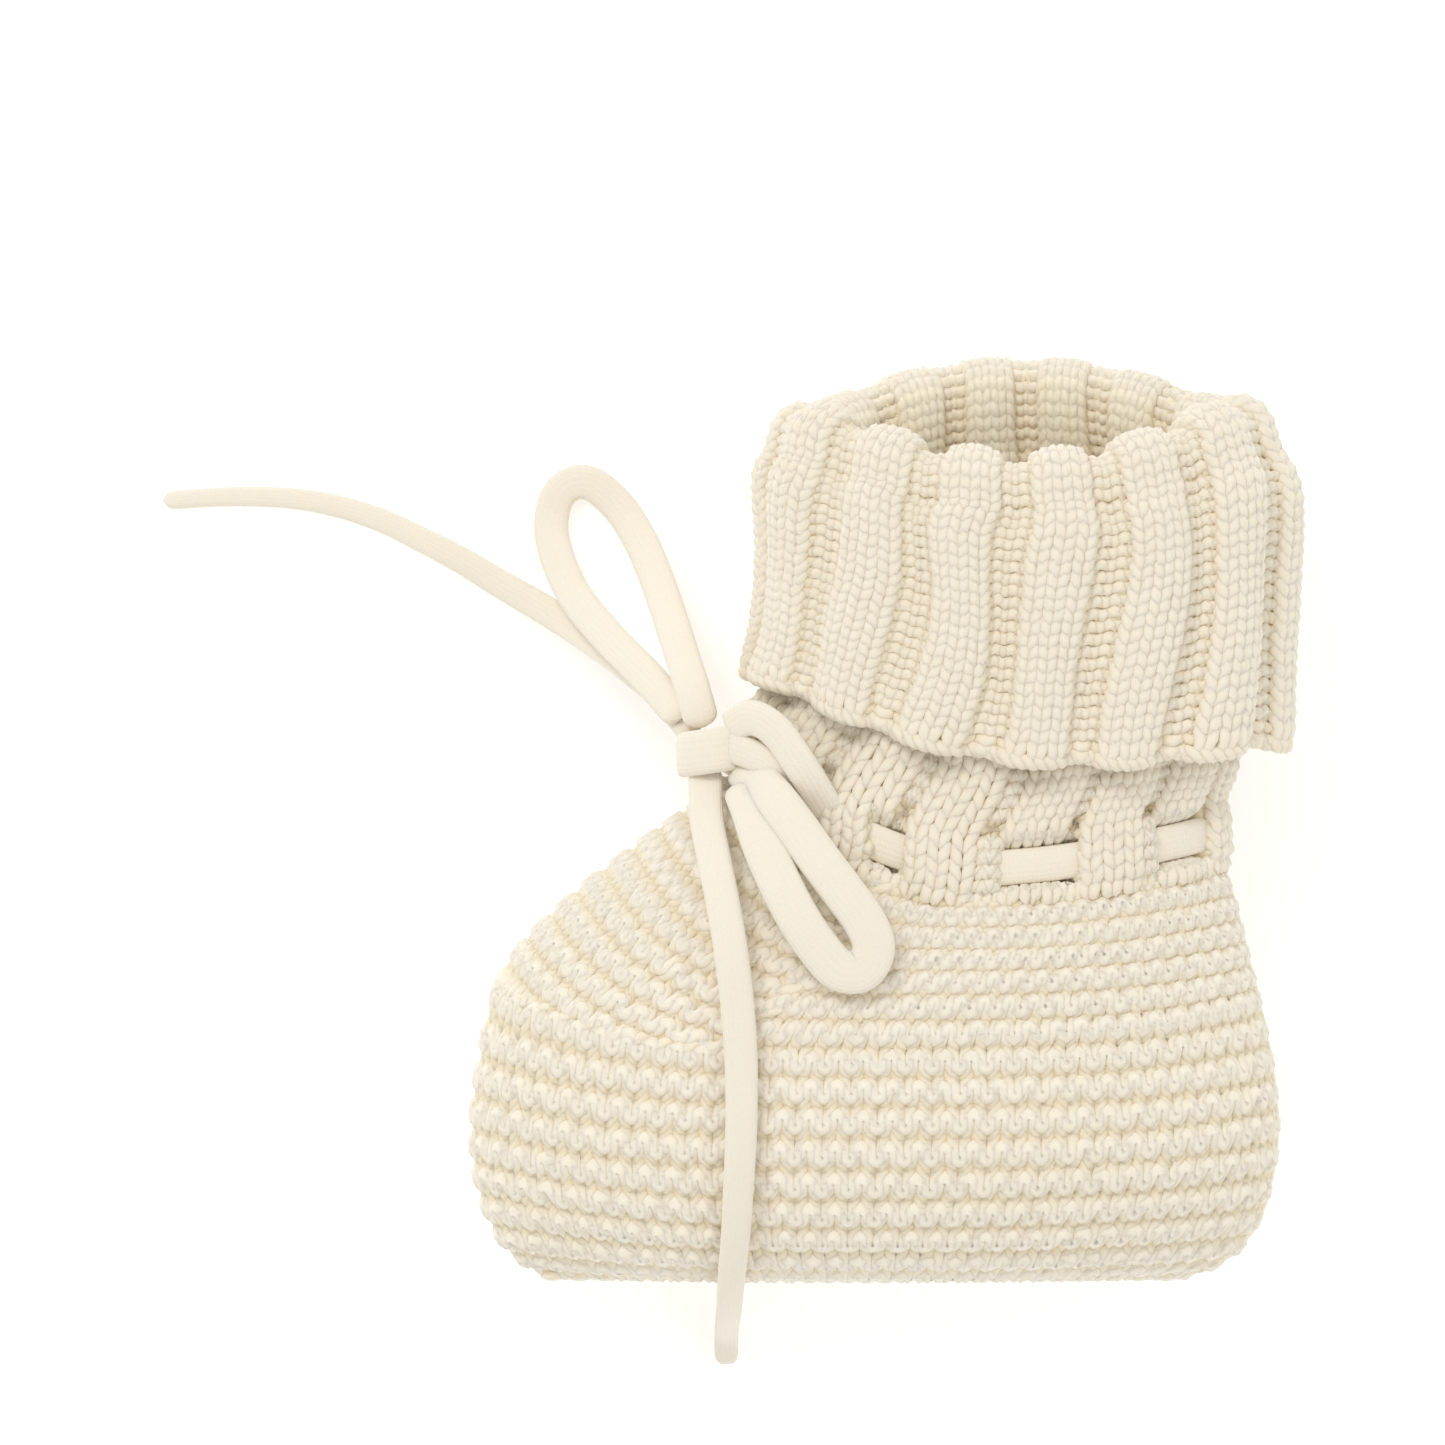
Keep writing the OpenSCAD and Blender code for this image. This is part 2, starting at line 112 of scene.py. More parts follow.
def on_loop(stations, k, turn, out=0.0, up=0.0):
    """Points at a turn in degrees from the front of loop k, set off outwards and upwards."""
    s = at_loop(stations, np.asarray(k, float))
    t = np.radians(turn)
    cos, sin = np.cos(t), np.sin(t)
    round_cos = np.sign(cos) * np.abs(cos) ** SQUARENESS
    round_sin = np.sign(sin) * np.abs(sin) ** SQUARENESS
    half = (s[..., 2] - s[..., 0]) / 2 + out
    middle = (s[..., 0] + s[..., 2]) / 2
    end_y = np.where(cos > 0, s[..., 1], s[..., 3])
    y = s[..., 4] + np.abs(cos) ** s[..., 6] * (end_y - s[..., 4]) - s[..., 7] * sin ** 3 + up
    z = np.maximum(s[..., 8] - np.minimum(out, 0), MID_Z + (s[..., 5] + out) * round_sin)
    return np.stack([middle - half * round_cos, y, z], axis=-1)


def even_turns(stations, k_steps=97, turn_steps=361):
    """Table of the turn that lies at each even share of the way round each loop."""
    ks = np.linspace(0, len(stations) - 1, k_steps)
    turns = np.linspace(0, 360, turn_steps)
    table = np.empty((k_steps, turn_steps))
    for row, k in enumerate(ks):
        p = on_loop(stations, np.full(turn_steps, k), turns)
        run = np.concatenate([[0], np.cumsum(np.linalg.norm(np.diff(p, axis=0), axis=1))])
        table[row] = np.interp(np.linspace(0, run[-1], turn_steps), run, turns)
    return table


def turn_at(table, stations, k, share):
    """Turn at a share (0 to 1) of the way round loop k."""
    rows, cols = table.shape
    y = np.clip(k / (len(stations) - 1), 0, 1) * (rows - 1)
    whole = np.floor(share)
    x = (share - whole) * (cols - 1)
    i = np.minimum(y.astype(int), rows - 2)
    j = np.minimum(x.astype(int), cols - 2)
    fy, fx = y - i, x - j
    top = table[i, j] * (1 - fx) + table[i, j + 1] * fx
    low = table[i + 1, j] * (1 - fx) + table[i + 1, j + 1] * fx
    return top * (1 - fy) + low * fy + 360 * whole


def climb(stations, k_from, k_to, shares):
    """Length up the surface from k_from, averaged over some shares of the way round."""
    ks = np.linspace(k_from, k_to, 200)
    rise = np.zeros(200)
    for share in shares:
        p = on_loop(stations, ks, np.full(200, share * 360))
        rise[1:] += np.cumsum(np.linalg.norm(np.diff(p, axis=0), axis=1)) / len(shares)
    return ks, rise


boot_turns = even_turns(BOOT)
cuff_turns = even_turns(CUFF)


# ---------------------------------------------------------------- knitting

def knit_points(place, row, edges, faces, faces_above, depth, lean, reach, relief=None,
                step=12, loose=0.05):
    """Points of one course of loops. place(r, q) lies on the fabric; edges are where each
    stitch begins; faces are +1 for knit and -1 for purl, for this course and the one above.
    depth is how far a loop goes in and out, lean how far its sides draw together, reach its
    height in courses, and loose how uneven the loops are."""
    count = len(faces)
    t = np.tile(np.linspace(0, 2 * np.pi, step, endpoint=False), count)
    j = np.repeat(np.arange(count), step)
    width = (edges[1:] - edges[:-1])[j]
    head = (1 - np.cos(t)) / 2
    jitter = rng.normal(0, loose, (4, count))[:, j] * head
    r = row + 0.5 - (reach + jitter[0] * 0.5) * np.cos(t) + jitter[1] * 0.6
    q = edges[:-1][j] + width * (t / (2 * np.pi) + lean * np.sin(2 * t) + jitter[2])

    def eased(kinds):
        before, after = np.roll(kinds, 1)[j], np.roll(kinds, -1)[j]
        here = kinds[j]
        near = np.clip(t / (0.5 * np.pi), 0, 1)
        far = np.clip((2 * np.pi - t) / (0.5 * np.pi), 0, 1)
        return here + (before - here) * (1 - near) / 2 + (after - here) * (1 - far) / 2

    foot, top = eased(faces), eased(faces_above)
    knit = -depth / 2 * (foot * (np.cos(2 * t) + np.cos(t)) + top * (np.cos(2 * t) - np.cos(t)))
    garter = -depth * foot * np.tanh(1.5 * np.cos(t)) / np.tanh(1.5)
    z = np.where(foot == -top, garter, knit)
    z = z + jitter[3] * 0.6
    # Painted shade: share of crevice shade in the yarn's colour, more where the loop dips into the
    # fabric, less on raised ribs.
    crevice_shade = np.clip(0.5 - z / depth, 0, 1)
    if relief is not None:
        swell = relief(r, q)
        z = z + swell
        crevice_shade = np.clip(crevice_shade - 0.16 * swell, 0, 1)
    e = 1e-3
    p = place(r, q)
    across = place(r, q + e) - place(r, q - e)
    up = place(r + 10 * e, q) - place(r - 10 * e, q)
    n = np.cross(across, up)
    n /= np.maximum(np.linalg.norm(n, axis=1), 1e-9)[:, None]
    return np.hstack([p + n * z[:, None], crevice_shade[:, None]]), r, q


def runs_of(points, keep, least=5):
    """Stretches of points where keep holds."""
    if keep.all():
        return [points]
    cuts = np.flatnonzero(np.diff(np.concatenate([[0], keep.astype(int), [0]])))
    return [points[a:b] for a, b in zip(cuts[::2], cuts[1::2]) if b - a >= least]


def as_mesh(obj):
    """Turns a curve object into a mesh object of the same name, smooth and closed."""
    graph = bpy.context.evaluated_depsgraph_get()
    mesh = bpy.data.meshes.new_from_object(obj.evaluated_get(graph))
    name = obj.name
    curve = obj.data
    bpy.data.objects.remove(obj)
    bpy.data.curves.remove(curve)
    mesh.polygons.foreach_set("use_smooth", [True] * len(mesh.polygons))
    made = bpy.data.objects.new(name, mesh)
    bpy.context.scene.collection.objects.link(made)
    return made


def yarn(name, strands, diameter, closed=False):
    """Round yarn along each strand of points in millimetres; a fourth column, if there is one, is the
    share of painted crevice shade, from how far in the yarn lies. It is pressed flat where it meets the
    surface below. The mesh carries the twist and the painted shade share."""
    curve = bpy.data.curves.new(name, "CURVE")
    curve.dimensions = "3D"
    curve.bevel_depth = diameter / 2 * MM
    curve.bevel_resolution = 1
    for points in strands:
        points[:, 2] = np.maximum(points[:, 2], diameter / 2)
        line = curve.splines.new("POLY")
        line.points.add(len(points) - 1)
        weighted = np.hstack([points[:, :3] * MM, np.ones((len(points), 1))])
        line.points.foreach_set("co", weighted.ravel())
        line.use_cyclic_u = closed
    obj = bpy.data.objects.new(name, curve)
    bpy.context.scene.collection.objects.link(obj)
    made = as_mesh(obj)
    ring = len(made.data.vertices) // sum(len(points) for points in strands)
    around = np.arange(ring) * 4 * np.pi / ring
    twists, shade_shares = [], []
    for points in strands:
        run = np.concatenate([[0], np.cumsum(np.linalg.norm(np.diff(points[:, :3], axis=0), axis=1))])
        phase = run[:, None] * 2 * np.pi / (1.5 * diameter) + rng.uniform(0, 6)
        twists.append(np.cos(phase + around[None, :]).ravel())
        # Painted shade share for each point, 0.3 where the strand gives none.
        painted_shade = points[:, 3] if points.shape[1] > 3 else np.full(len(points), 0.3)
        shade_shares.append(np.repeat(painted_shade, ring))
    for key, values in (("twist", twists), ("crevice_shade", shade_shares)):
        layer = made.data.attributes.new(key, "FLOAT", "POINT")
        layer.data.foreach_set("value", np.concatenate(values))
    if not closed:
        bm = bmesh.new()
        bm.from_mesh(made.data)
        bmesh.ops.holes_fill(bm, edges=bm.edges[:], sides=0)
        bm.to_mesh(made.data)
        bm.free()
    return made


def backing(name, place, rows, shares, depth, thick=0.8, grid=(40, 120)):
    """Thin skin inside the knit that closes the gaps between its loops; its darker tan colour is
    painted shade in those gaps.
    """
    bm = bmesh.new()
    bmesh.ops.create_grid(bm, x_segments=grid[1], y_segments=grid[0], size=0.5)
    co = np.array([v.co[:] for v in bm.verts])
    r = rows[0] + (co[:, 1] + 0.5) * (rows[1] - rows[0])
    q = shares[0] + (co[:, 0] + 0.5) * (shares[1] - shares[0])
    e = 1e-3
    n = np.cross(place(r, q + e) - place(r, q - e), place(r + 10 * e, q) - place(r - 10 * e, q))
    n /= np.maximum(np.linalg.norm(n, axis=1), 1e-9)[:, None]
    inward = depth(r, q) if callable(depth) else np.full(len(r), depth)
    p = place(r, q) - n * inward[:, None]
    for v, at in zip(bm.verts, p * MM):
        v.co = at
    bmesh.ops.solidify(bm, geom=bm.faces[:], thickness=-thick * MM)
    bmesh.ops.recalc_face_normals(bm, faces=bm.faces[:])
    mesh = bpy.data.meshes.new(name)
    bm.to_mesh(mesh)
    bm.free()
    mesh.polygons.foreach_set("use_smooth", [True] * len(mesh.polygons))
    obj = bpy.data.objects.new(name, mesh)
    bpy.context.scene.collection.objects.link(obj)
    return obj


# ---------------------------------------------------------------- camera

camera_data = bpy.data.cameras.new("Camera")
camera_data.lens = 200
camera_data.sensor_width = 36
camera = bpy.data.objects.new("Camera", camera_data)
bpy.context.scene.collection.objects.link(camera)
distance = VIEW_WIDTH * camera_data.lens / camera_data.sensor_width
camera.location = (VIEW_CENTRE[0] * MM, VIEW_CENTRE[1] * MM, (MID_Z + distance) * MM)
bpy.context.scene.camera = camera


# ---------------------------------------------------------------- cords, as routed in the design

UPPER_LOOP = [
    (-22.3, 11.8, 25.5), (-23.6, 16.5, 24), (-25.2, 21.5, 19.5), (-26.8, 26.5, 13.5),
    (-28.6, 31.5, 8), (-30.6, 36, 4), (-33.4, 40.2, 1.8), (-37, 42.9, 1.5), (-40.2, 42, 1.5),
    (-41.6, 38.6, 1.7), (-41.2, 34.4, 3.4), (-38.8, 28.8, 7.2), (-34.5, 23.4, 12.7),
    (-29.6, 18.4, 18.5), (-24.8, 13, 24)]
LOWER_LOOP = [
    (-18, 7.4, 27.2), (-14.4, 4, 32), (-11.2, 0, 35.2), (-7.9, -4.6, 37.2),
    (-4.9, -8.6, 38.2), (-2.5, -12, 38.5), (-1.4, -15.2, 38.6), (-2.8, -17.9, 38.6),
    (-5.7, -17.8, 38.6), (-8.3, -15, 38.6), (-10.7, -11.4, 38.3), (-12.9, -7.2, 37.2),
    (-14.9, -2.6, 35), (-16.2, 1.5, 32.4), (-17.6, 5, 29.4)]
UPPER_TAIL = [
    (-23.2, 11, 23.6), (-27.4, 15.8, 19.2), (-31.4, 19.2, 14.4), (-35, 21.9, 9.6),
    (-39, 24.6, 5.2), (-43.6, 27.4, 2.2), (-48.4, 30.2, 1.2), (-53, 33, 1.2),
    (-58, 35.6, 1.2), (-63, 38, 1.2), (-68.5, 39.8, 1.2), (-74, 40.8, 1.2),
    (-79.5, 41.1, 1.2), (-85, 41, 1.2), (-91, 40.6, 1.2)]
LOWER_TAIL = [
    (-22, 7, 26.2), (-21.9, 1, 30.4), (-20.9, -4.5, 34), (-19.8, -10, 36.6),
    (-18.8, -16, 38.1), (-18, -23, 38.6), (-17.6, -30, 38.6), (-17.6, -37, 38.3),
    (-17.9, -44, 37.2), (-18.3, -50.6, 34.2), (-18.8, -56.4, 28.6), (-19.1, -60.8, 20.6),
    (-19.3, -63.4, 12.4), (-19.4, -65.4, 5), (-19.4, -69, 1.3)]


def smooth_route(points, per=8):
    """The route with smooth bends between its points."""
    p = np.array(points, float)
    t = np.linspace(0, len(p) - 1, (len(p) - 1) * per + 1)
    return at_loop(p, t)


def tape(name, route, width=CORD_WIDTH, thick=CORD_THICK, closed=False, face=None, per=8,
         ends=True, tip=None):
    """Flat knitted cord along a route: an oval section whose wide side faces along face.
    Towards its far end it draws in to the width called tip."""
    p = smooth_route(route, per) if per else np.array(route, float)
    n = len(p)
    nxt, prv = (np.roll(p, -1, 0), np.roll(p, 1, 0)) if closed else (
        p[np.minimum(np.arange(n) + 1, n - 1)], p[np.maximum(np.arange(n) - 1, 0)])
    ahead = nxt - prv
    ahead /= np.linalg.norm(ahead, axis=1)[:, None]
    up = np.tile([0, 0, 1.0], (n, 1)) if face is None else np.array(face(p, ahead), float)
    side = np.cross(up, ahead)
    side /= np.maximum(np.linalg.norm(side, axis=1), 1e-6)[:, None]
    up = np.cross(ahead, side)
    around = 16
    a = np.linspace(0, 2 * np.pi, around, endpoint=False)
    section_x = np.sign(np.cos(a)) * np.abs(np.cos(a)) ** 0.8 * width / 2
    section_y = np.sign(np.sin(a)) * np.abs(np.sin(a)) ** 0.62 * thick / 2
    run = np.concatenate([[0], np.cumsum(np.linalg.norm(np.diff(p, axis=0), axis=1))])
    size = np.ones(n)
    if ends and not closed:
        gap = np.minimum(run, run[-1] - run)
        size = np.clip(np.sqrt(np.clip(1 - (1 - np.minimum(gap / 1.6, 1)) ** 2, 0.02, 1)), 0.14, 1)
    drawn_in = 1 + ((tip or width) / width - 1) * smooth_step(run / run[-1] * 1.3 - 0.3)
    rows = n if closed else n - 1
    bm = bmesh.new()
    bmesh.ops.create_grid(bm, x_segments=around, y_segments=rows, size=0.5)
    uv = bm.loops.layers.uv.new("UVMap")
    for f in bm.faces:
        f.smooth = True
        for loop in f.loops:
            u, v = loop.vert.co.x + 0.5, loop.vert.co.y + 0.5
            loop[uv].uv = (u, np.interp(v * rows, np.arange(n), run))
    for v in bm.verts:
        i, c = round((v.co.y + 0.5) * rows) % n, round((v.co.x + 0.5) * around) % around
        v.co = (p[i] + side[i] * section_x[c] * size[i] * drawn_in[i]
                + up[i] * section_y[c] * size[i]) * MM
    bmesh.ops.remove_doubles(bm, verts=bm.verts[:], dist=1e-7)
    if not closed:
        bmesh.ops.holes_fill(bm, edges=bm.edges[:], sides=0)
    bmesh.ops.recalc_face_normals(bm, faces=bm.faces[:])
    mesh = bpy.data.meshes.new(name)
    bm.to_mesh(mesh)
    bm.free()
    obj = bpy.data.objects.new(name, mesh)
    bpy.context.scene.collection.objects.link(obj)
    return obj, p


def free_cord(name, node, route, far_end, **shape):
    """A length of cord that hangs free from the knot."""
    obj, p = tape(name, route, **shape)
    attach(obj, "root")
    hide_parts(node)
    tuple(p[0] * MM)
    [tuple(q) for q in p * MM]
    return obj


cords = [free_cord("bow_upper_loop", "upper_loop", UPPER_LOOP, "object"),
         free_cord("bow_lower_loop", "lower_loop", LOWER_LOOP, "object", width=5.3),
         free_cord("bow_upper_tail", "upper_tail", UPPER_TAIL, "bare", width=4.0, tip=2.4),
         free_cord("bow_lower_tail", "lower_tail", LOWER_TAIL, "bare", width=4.2, tip=3.0)]


# ---------------------------------------------------------------- laced cord and knot

def band_point(turn, out, height=0.5):
    return on_loop(BOOT, np.full(np.shape(turn), FOOT_TOP + height), turn, out)


def even_angle(u):
    """The design's turn for an even share of the way round, in degrees."""
    return u + 8 * np.sin(np.radians(2 * u))


def outward(p, ahead):
    """Away from the middle of the leg, square to the cord."""
    middle = np.array([12.0, 0, MID_Z])
    away = (p - middle) * np.array([1, 0, 3.0])
    return away


LACE_START, LACE_END = 49.6, 336.0
lace_turns = even_angle(np.linspace(LACE_START, LACE_END, 90))
lace_route = band_point(lace_turns, -LEG_PLY / 2)


def held_cord(name, node, route, **shape):
    """A stretch of cord that the fabric or the knot holds in place."""
    obj, _ = tape(name, route, **shape)
    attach(obj, "root")
    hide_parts(node)
    return obj


ankle_cord = held_cord("laced_cord", "ankle_cord", lace_route, per=0, face=outward, ends=False)
near_lead = held_cord("near_lead_cord", "near_lead",
                      [tuple(lace_route[0]), (-9.7, 6.2, 33.1), (-13.2, 11.2, 32.4),
                       (-16.4, 13, 30.6), (-18.8, 11.6, 28.2)], face=outward, ends=False)
far_lead = held_cord("far_lead_cord", "far_lead",
                     [tuple(lace_route[-1]), (-20, 8.6, 13), (-21.6, 9.4, 17.5),
                      (-21.2, 9.4, 22)], face=outward, ends=False)

KNOT = np.array([-21.3, 8.9, 26.0])


def knot_ring(radius_x, radius_z, tilt, count=40):
    a = np.linspace(0, 2 * np.pi, count, endpoint=False)
    ring = np.stack([np.cos(a) * radius_x, np.cos(a) * tilt, np.sin(a) * radius_z], axis=1)
    return KNOT + ring


def from_knot(p, ahead):
    return (p - KNOT) * np.array([1, 0.05, 1.5])


knot_wrap = held_cord("knot_wrap", "bow_knot", knot_ring(3.5, 3.2, 0.5), width=5.6,
                      thick=CORD_THICK, closed=True, per=0, face=from_knot)
knot_core = held_cord("knot_core", "bow_knot",
                      KNOT + np.array([[0, -2.6, 0], [0, 0, 0], [0, 2.6, 0]]), width=6.0, thick=5.2)
knot_cross = held_cord("knot_cross", "bow_knot",
                       [(-20.6, 9.6, 27.2), (-17.8, 9.0, 29.4), (-15, 7.8, 30.4),
                        (-12.4, 6.2, 30.6), (-10.6, 4.8, 29.2)], width=3.9, face=outward)

# ---------------------------------------------------------------- garter foot

FOOT_STITCHES = 68
SIDE_SHARES = [s / 24 for s in range(24) if s not in (0, 12)]   # clear of the toe and heel
foot_ks, foot_rise = climb(BOOT, 0.0, FOOT_TOP, SIDE_SHARES)
FOOT_COURSES = int(round(foot_rise[-1] / GARTER_COURSE / 2)) * 2
PANEL_FROM = 4.8
PANEL_EDGE = 67.5


def foot_k(r):
    return np.interp(r / FOOT_COURSES * foot_rise[-1], foot_rise, foot_ks)


def foot_place(r, q):
    k = foot_k(r)
    return on_loop(BOOT, k, turn_at(boot_turns, BOOT, k, q), -GARTER_YARN / 2)


def panel_edge(k):
    """Turn of the instep panel's edge, wide at the toe and the same up to the ankle."""
    return np.where(k < PANEL_FROM + 0.06, -1, even_angle(PANEL_EDGE) - 1.5)


def beside_panel(r, q):
    k = foot_k(r)
    turn = turn_at(boot_turns, BOOT, k, q)
    inside = np.minimum(turn, 360 - turn) < panel_edge(k)
    return ~inside


def knit_foot(name, first, last):
    strands = []
    edges = np.arange(first, last + 1) / FOOT_STITCHES
    for n in range(FOOT_COURSES):
        face = 1 if n % 2 else -1
        p, r, q = knit_points(foot_place, n, edges, np.full(last - first, face),
                              np.full(last - first, -face), depth=0.42,
                              lean=0.05, reach=0.9)
        strands += runs_of(p, beside_panel(r, q))
    return yarn(name, strands, GARTER_YARN)


foot_near = knit_foot("foot_near_knit", 0, 34)
foot_far = knit_foot("foot_far_knit", 34, 68)

# ---------------------------------------------------------------- instep panel

PANEL_COURSES = 24
PANEL_STITCHES = 24
PANEL_SLANT = 0.75


def panel_k(r):
    return PANEL_FROM + 0.1 + (FOOT_TOP + PANEL_SLANT - PANEL_FROM) * r / PANEL_COURSES


def panel_place(r, q):
    turn = even_angle(PANEL_EDGE) * q
    k = panel_k(r) - PANEL_SLANT * np.abs(q) ** 1.6
    return on_loop(BOOT, k, turn, -GARTER_YARN / 2)


def on_panel(r, q):
    k = panel_k(r) - PANEL_SLANT * np.abs(q) ** 1.6
    return (k > PANEL_FROM - 0.08) & (k < FOOT_TOP + 0.1)


def knit_panel():
    strands = []
    edges = np.linspace(-1, 1, PANEL_STITCHES + 1)
    for n in range(PANEL_COURSES):
        face = 1 if n % 2 else -1
        p, r, q = knit_points(panel_place, n, edges, np.full(PANEL_STITCHES, face),
                              np.full(PANEL_STITCHES, -face), depth=0.42,
                              lean=0.05, reach=0.9)
        strands += runs_of(p, on_panel(r, q))
    return yarn("instep_knit", strands, GARTER_YARN * 0.95)


panel = knit_panel()


def panel_seam():
    """Back-stitches where the instep panel meets the sides of the foot."""
    edge = even_angle(PANEL_EDGE)
    up, across = np.linspace(FOOT_TOP, PANEL_FROM, 150), np.linspace(edge, -edge, 330)
    k = np.concatenate([up[:-1], np.full(330, PANEL_FROM), up[-2::-1]])
    turn = np.concatenate([np.full(149, edge), across, np.full(149, -edge)])
    line = on_loop(BOOT, k, turn)
    run = np.concatenate([[0], np.cumsum(np.linalg.norm(np.diff(line, axis=0), axis=1))])
    a = run * 2 * np.pi / 3.4
    front = np.abs(turn) < edge
    k, turn = k + 0.07 * np.sin(a) * front, turn + 1.6 * np.sin(a) * ~front
    return on_loop(BOOT, k, turn, -0.9 - 0.5 * np.cos(a))


instep_seam = yarn("instep_seam_yarn", [panel_seam()], 1.4)
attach(instep_seam, "root")
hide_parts("instep_panel")

# ---------------------------------------------------------------- ribbed leg with the lacing

LEG_REPEATS = 15
LACE_FROM, LACE_STEP, LACE_LAST = 71.6, 23.4, 282.2
RIB_SHARES = [0.26, 0.26, 0.26, 0.11, 0.11]      # three knit wales, two purl wales
RIB_FACES = [1, 1, 1, -1, -1]


def leg_turn(phase):
    """Turn at a count of ribs, from the rib behind the near lead's first full bridge."""
    full = (LACE_LAST - LACE_FROM) / LACE_STEP
    rest = (360 + LACE_FROM - LACE_LAST) / (LEG_REPEATS - full)
    u = np.where(phase < full, LACE_FROM + LACE_STEP * phase, LACE_LAST + rest * (phase - full))
    return even_angle(u)


LEG_K_FROM, LEG_K_TO = 7.8, 12.9
leg_ks, leg_rise = climb(BOOT, LEG_K_FROM, LEG_K_TO, SIDE_SHARES)
LEG_YARN = 1.6
LEG_COURSES = int(round(leg_rise[-1] / LEG_COURSE))


def leg_k(r):
    return np.interp(r / LEG_COURSES * leg_rise[-1], leg_rise, leg_ks)


def leg_place(r, q):
    k = leg_k(r)
    return on_loop(BOOT, k, leg_turn(np.mod(q, LEG_REPEATS)) + 360 * np.floor(q / LEG_REPEATS),
                   -LEG_YARN / 2)


def leg_relief(r, q):
    """Rounded ribs, pushed out over the cord and in behind it by turns."""
    k = leg_k(r)
    share = q - np.floor(q)
    rib = np.clip(np.sin(np.pi * np.clip(share / 0.8, 0, 1)), 0, 1) ** 0.5
    round_rib = 1.3 * rib - 0.7
    band = smooth_step((k - 8.02) / 0.16) * smooth_step((9.0 - k) / 0.16)
    number = np.floor(q).astype(int) % LEG_REPEATS
    over = (number % 2 == 0) & ((number < 9) | (number == 14))
    across = smooth_step(share / 0.1) * smooth_step((1 - share) / 0.1)
    over &= (number < 14) | (share < 0.56)
    push = np.where(over, 1.0 * across, -2.6)
    push = np.where((number > 9) & (number < 14), -2.2, push)
    gap = smooth_step((share - 0.76) / 0.08) * smooth_step((1.04 - share) / 0.08)
    pinch = np.exp(-((k - 9.12) / 0.12) ** 2) + 1.3 * np.exp(-((k - 7.93) / 0.1) ** 2)
    covered = smooth_step((k - 9.6) / 1.0)
    ribs = round_rib * (1 - 0.6 * band) * (1 - 0.4 * covered) - 0.8 * covered
    return ribs + push * band - 1.7 * pinch * gap


def wales(repeats, shares, kinds):
    """Where each stitch of a course begins, and whether it is knit or purl."""
    edges = [0.0]
    faces = []
    for n in range(repeats):
        for share, face in zip(shares, kinds):
            edges.append(edges[-1] + share)
            faces.append(face)
    return np.array(edges), np.array(faces, float)


def knit_leg(name, first_row, last_row):
    edges, faces = wales(LEG_REPEATS, RIB_SHARES, RIB_FACES)
    strands = []
    for n in range(first_row, last_row):
        p, r, q = knit_points(leg_place, n, edges, faces, faces, depth=0.6, lean=0.2,
                              reach=1.02, relief=leg_relief)
        strands.append(p)
    return yarn(name, strands, LEG_YARN, closed=True)


LEG_SHOWN = int(round(np.interp(10.6, leg_ks, leg_rise) / leg_rise[-1] * LEG_COURSES))
leg = knit_leg("leg_knit", 0, LEG_SHOWN)

# ---------------------------------------------------------------- turned-down cuff

CUFF_REPEATS = 14
CUFF_SHARES = [0.2, 0.2, 0.2, 0.2, 0.2]
CUFF_PHASE = 0.35
# Path of the fabric from the hem over the rim and down the inside: loop, out, up
FOLD = np.array([
    [0.0, 0, 0], [1.0, 0, 0], [2.0, 0, 0], [3.0, 0, 0], [3.6, 0, -3.0], [4.0, 0.2, -3.6],
    [4.0, -0.5, -1.4], [4.0, -2.2, 0.0], [4.0, -4.2, -0.3], [4.0, -5.6, -2.2],
    [4.0, -6.0, -5.5], [3.6, -6.0, -7.0], [3.0, -6.0, -6.0], [2.4, -6.0, -6.0]])


def fold_path(m):
    return at_loop(FOLD, m)


def rib_wave(q):
    """+1 on the crest of a knit rib, -1 in the purl channel between two ribs."""
    share = q - np.floor(q)
    return np.where(share < 0.6, np.abs(np.sin(np.pi * share / 0.6)) ** 0.6,
                    -np.abs(np.sin(np.pi * (share - 0.6) / 0.4)) ** 0.7)


def cuff_raw(m, q):
    f = fold_path(m)
    k = f[..., 0]
    sway = 0.05 * np.sin(1.9 * m + q * 10 * np.pi / CUFF_REPEATS) * np.clip(4 - m, 0, 1)
    lean_over = 0.06 * np.minimum(m, 4)
    turn = turn_at(cuff_turns, CUFF, k, (q + CUFF_PHASE + sway + lean_over) / CUFF_REPEATS)
    wave = (-0.6 * rib_wave(q) - 0.3 * np.sin(q * 6 * np.pi / CUFF_REPEATS)) * np.clip(1 - m, 0, 1) ** 2
    lifted = f[..., 2] + wave + 0.9 * np.clip(1 - m, 0, 1)
    return on_loop(CUFF, k, turn, f[..., 1] - RIB_YARN / 2, lifted)


fold_ms = np.linspace(0, len(FOLD) - 1, 300)
fold_rise = np.zeros(300)
for side in range(CUFF_REPEATS):
    line = cuff_raw(fold_ms, np.full(300, float(side)))
    fold_rise[1:] += np.cumsum(np.linalg.norm(np.diff(line, axis=0), axis=1)) / CUFF_REPEATS
CUFF_COURSES = int(round(fold_rise[-1] / CUFF_COURSE))


def cuff_m(r):
    return np.interp(r / CUFF_COURSES * fold_rise[-1], fold_rise, fold_ms)


def cuff_place(r, q):
    return cuff_raw(cuff_m(r), q)


def cuff_relief(r, q):
    m = cuff_m(r)
    near = smooth_step(0.5 + 1.6 * np.sin((q + CUFF_PHASE) / CUFF_REPEATS * 2 * np.pi))
    share = 1 - (0.75 - 0.6 * near) * smooth_step((m - 3.4) / 1.4)
    share += (0.9 - share) * smooth_step((m - 8) / 2)
    deepest = -1.85 + 0.8 * smooth_step(1.2 - m)
    return np.maximum((1.3 * rib_wave(q) - 0.55) * share, deepest)


